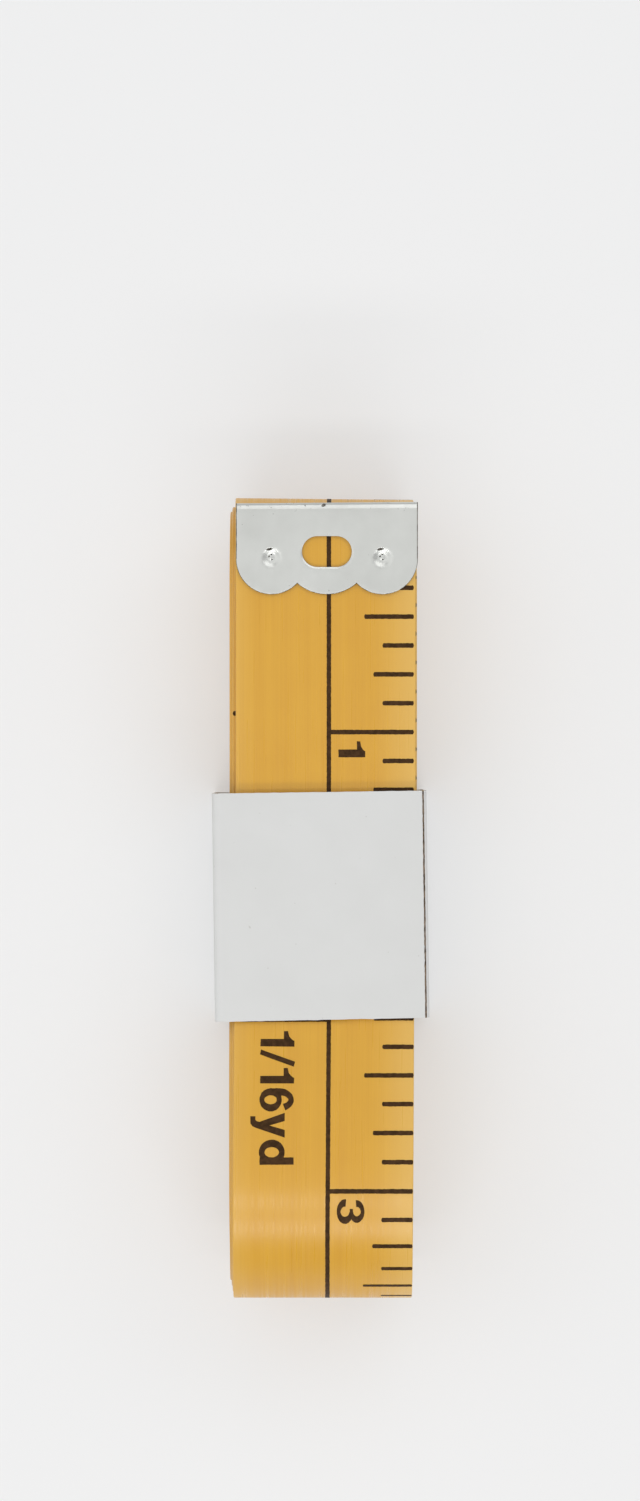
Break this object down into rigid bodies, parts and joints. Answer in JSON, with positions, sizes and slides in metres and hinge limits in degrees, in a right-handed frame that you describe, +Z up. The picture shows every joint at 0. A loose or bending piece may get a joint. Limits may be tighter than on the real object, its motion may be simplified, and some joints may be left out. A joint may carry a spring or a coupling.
{
  "type": "soft tape measure",
  "caption": "Soft printed tape measure wound flat into a hank, with folded metal end tips, held round its waist by a paper band.",
  "frame": {"origin": "under the middle of the hank, on the surface that it lies on", "axes": "+X across the tape, +Y along the hank towards the tip of the free end, +Z up, out of the printed face"},
  "size_m": [0.024, 0.089, 0.0245],
  "materials": {
    "tape": "satin coated cloth, mustard yellow with dark brown print",
    "tip": "plain bright sheet steel",
    "card": "matt white card with a raw cut edge"
  },
  "bodies": {
    "hank": {"tape_winding": "tape", "inner_end_tip": "tip"},
    "free_end": {"tape_free_end": "tape", "outer_end_tip": "tip"},
    "band": {"paper_band": "card"}
  },
  "joints": [
    {"name": "free_end_lift", "type": "hinge", "parent": "hank", "child": "free_end", "pos_m": [0, 0.01248, 0.02135], "axis": [1, 0, 0], "range_deg": [0, 90]},
    {"name": "band_slide", "type": "slide", "parent": "hank", "child": "band", "axis": [0, 1, 0], "range_m": [0, 0.0583]}
  ]
}
